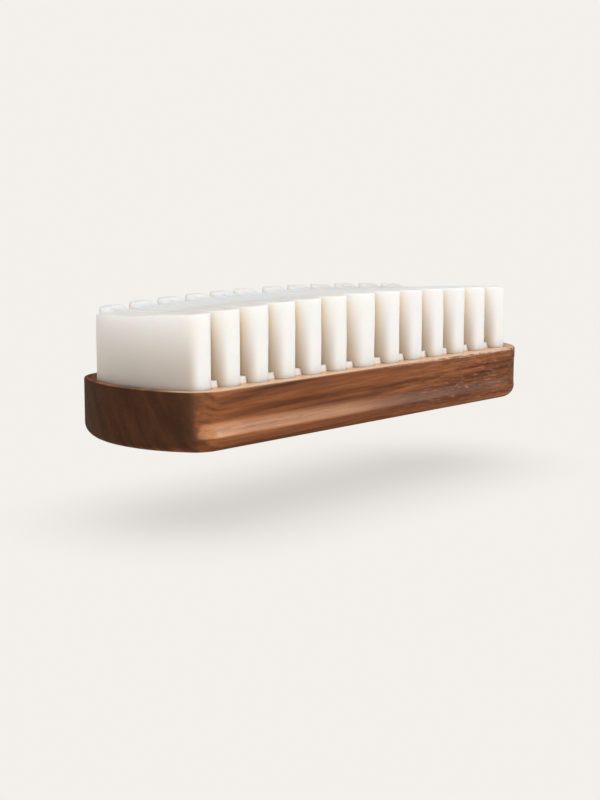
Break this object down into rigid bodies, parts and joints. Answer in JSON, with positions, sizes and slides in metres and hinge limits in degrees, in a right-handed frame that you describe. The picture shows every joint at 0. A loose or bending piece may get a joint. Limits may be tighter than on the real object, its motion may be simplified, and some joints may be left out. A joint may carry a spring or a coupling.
{
  "type": "crepe suede brush",
  "caption": "Hand brush for suede: a strip of crepe rubber, folded to and fro and bonded on edge into a hardwood back with finger grooves.",
  "frame": {"origin": "middle of the flat back, on the surface that it rests on", "axes": "+X along the brush, +Z out of the brushing face, -Y towards the side where the end folds close"},
  "size_m": [0.125, 0.04, 0.0298],
  "materials": {
    "hardwood": "thin satin oil on dark, open-grained hardwood",
    "adhesive": "cured pale adhesive, slightly uneven",
    "crepe_rubber": "matt, slightly translucent white crepe rubber"
  },
  "bodies": {
    "root": {"wooden_back": "hardwood", "adhesive_bed": "adhesive", "crepe_ribbon": "crepe_rubber"}
  },
  "joints": []
}
